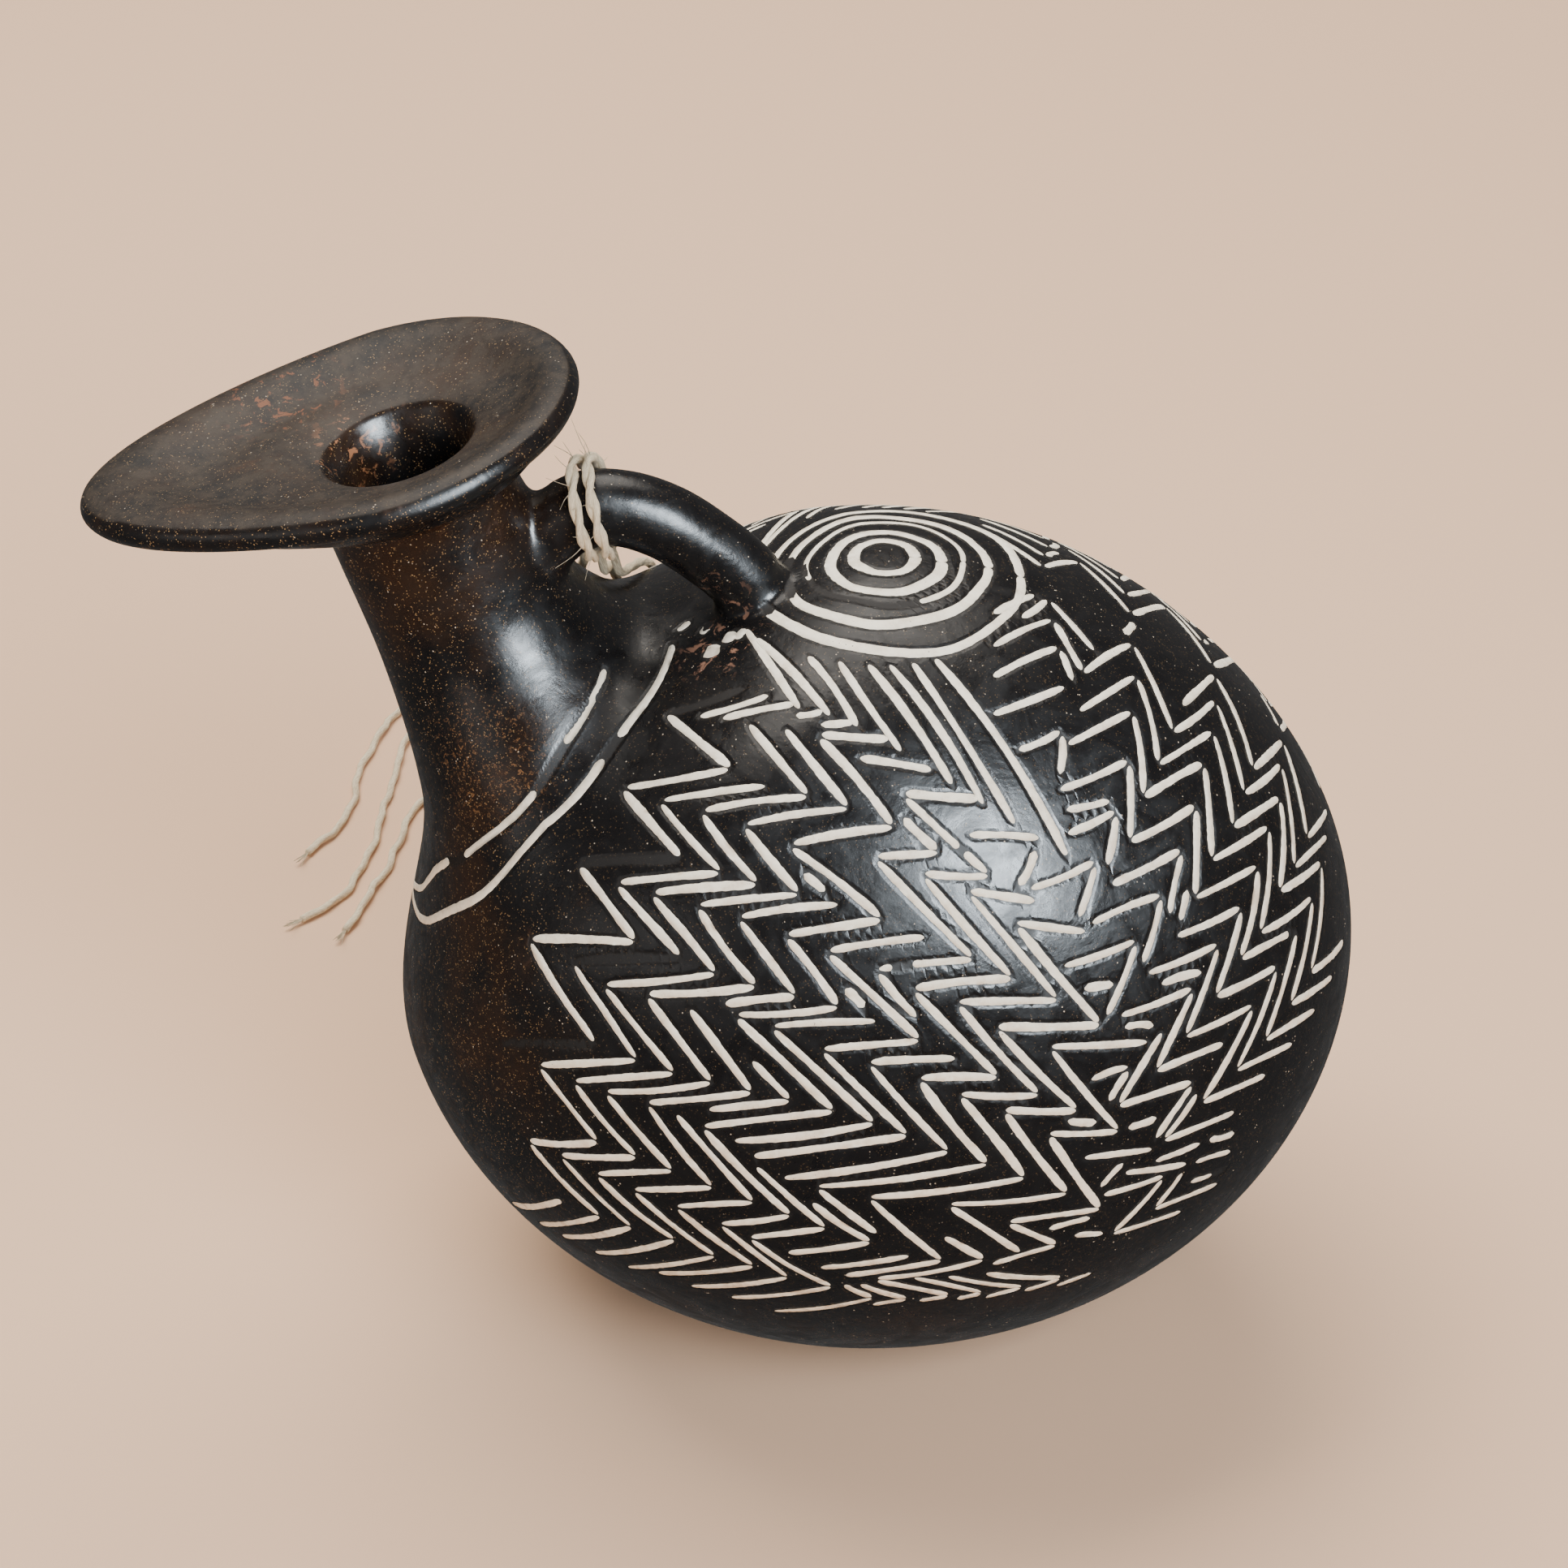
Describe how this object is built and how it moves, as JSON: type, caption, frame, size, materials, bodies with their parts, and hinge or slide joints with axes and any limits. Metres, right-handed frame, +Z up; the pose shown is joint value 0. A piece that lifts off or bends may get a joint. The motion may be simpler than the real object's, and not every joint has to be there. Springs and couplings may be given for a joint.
{
  "type": "askos",
  "caption": "Hand-built askos of black burnished clay with a leaf-shaped spouted rim, a loop handle, white-filled cut zigzags and rings, and a twine tied round the handle",
  "frame": {"origin": "centre of the flat foot the askos stands on", "axes": "+Z up, -X towards the tip of the rim's spout, +X towards the tail, y = 0 the plane of symmetry"},
  "size_m": [0.1974, 0.2396, 0.1713],
  "materials": {
    "burnished_clay": null,
    "jute_twine": "undyed twisted plant fibre"
  },
  "bodies": {
    "root": {"vessel_belly": "burnished_clay", "vessel_top": "burnished_clay", "twine_wrap": "jute_twine", "twine_end_outer": "jute_twine", "twine_end_middle": "jute_twine", "twine_end_inner": "jute_twine"}
  },
  "joints": []
}
